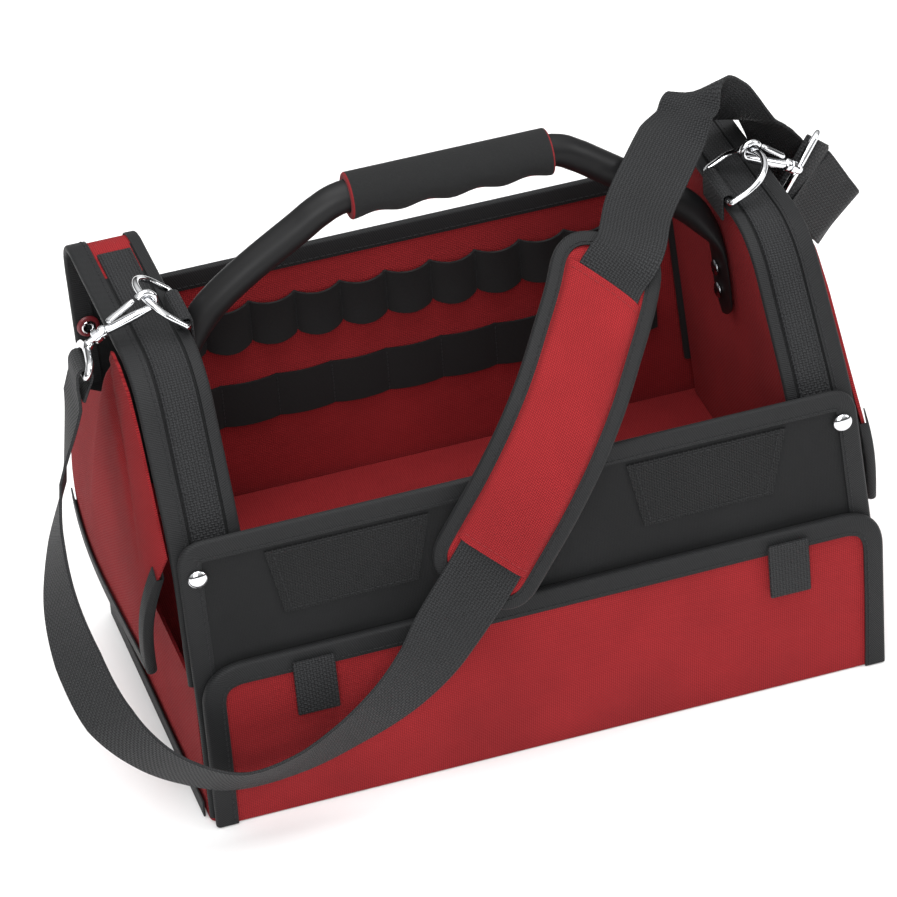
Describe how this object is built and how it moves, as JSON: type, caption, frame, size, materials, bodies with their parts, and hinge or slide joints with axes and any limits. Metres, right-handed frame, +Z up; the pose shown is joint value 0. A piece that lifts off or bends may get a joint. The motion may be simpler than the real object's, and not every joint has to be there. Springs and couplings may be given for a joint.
{
  "type": "open tool bag",
  "caption": "Open-topped cloth tool bag with a tube handle, inner tool loops, a front flap over a lower compartment and a padded shoulder strap.",
  "frame": {"origin": "under the middle of the base, on the surface that the bag stands on", "axes": "+X along the bag to the right as seen from the front, -Y towards the front flap, +Z up"},
  "size_m": [0.5461, 0.2694, 0.3462],
  "materials": {
    "red_cloth": "heavy woven polyester",
    "black_cloth": "heavy woven polyester",
    "loop_patch": "short loop pile",
    "edge_tape": "ribbed folded tape",
    "elastic": "soft woven band",
    "webbing": "ribbed webbing",
    "tube_steel": "satin",
    "grip_foam": "sewn cloth over foam",
    "bright_metal": "polished"
  },
  "bodies": {
    "bag": {"base_panel": "red_cloth", "floor_panel": "red_cloth", "back_panel": "red_cloth", "front_flap": "red_cloth", "shoulder_pad": "red_cloth", "shoulder_pad_cover": "red_cloth", "front_panel": "black_cloth", "loop_patch_left": "loop_patch", "loop_patch_right": "loop_patch", "front_panel_tape": "edge_tape", "back_panel_tape": "edge_tape", "front_flap_tape": "edge_tape", "foot_tape": "edge_tape", "shoulder_pad_tape": "edge_tape", "tool_loops_upper": "elastic", "tool_loops_lower": "elastic", "pull_tab_left": "webbing", "pull_tab_right": "webbing", "shoulder_strap": "webbing", "handle_tube": "tube_steel", "handle_grip": "grip_foam", "arch_strip_left": "red_cloth", "end_panel_left": "red_cloth", "lower_end_left": "red_cloth", "end_flap_left": "red_cloth", "arch_outer_tape_left": "edge_tape", "arch_inner_tape_left": "edge_tape", "end_flap_tape_left": "edge_tape", "arch_webbing_left": "webbing", "ring_loop_left": "webbing", "corner_rivet_left": "bright_metal", "back_eyelet_left": "bright_metal", "d_ring_left": "bright_metal", "hook_body_left": "bright_metal", "hook_eye_left": "bright_metal", "handle_rivet_left_upper": "bright_metal", "handle_rivet_left_lower": "bright_metal", "arch_strip_right": "red_cloth", "end_panel_right": "red_cloth", "lower_end_right": "red_cloth", "end_flap_right": "red_cloth", "arch_outer_tape_right": "edge_tape", "arch_inner_tape_right": "edge_tape", "end_flap_tape_right": "edge_tape", "arch_webbing_right": "webbing", "ring_loop_right": "webbing", "corner_rivet_right": "bright_metal", "back_eyelet_right": "bright_metal", "d_ring_right": "bright_metal", "hook_body_right": "bright_metal", "hook_eye_right": "bright_metal", "handle_rivet_right_upper": "bright_metal", "handle_rivet_right_lower": "bright_metal"},
    "gate_left": {"hook_gate_left": "bright_metal"},
    "gate_right": {"hook_gate_right": "bright_metal"}
  },
  "joints": [
    {"name": "gate_left_hinge", "type": "hinge", "parent": "bag", "child": "gate_left", "pos_m": [-0.21841, -0.02527, 0.30098], "axis": [-0.0542, 0.9982, -0.0259], "range_deg": [0, 14], "stiffness_Nm_per_rad": 0.05},
    {"name": "gate_right_hinge", "type": "hinge", "parent": "bag", "child": "gate_right", "pos_m": [0.20017, 0.00329, 0.29042], "axis": [0.1019, -0.9919, -0.0761], "range_deg": [0, 14], "stiffness_Nm_per_rad": 0.05}
  ]
}
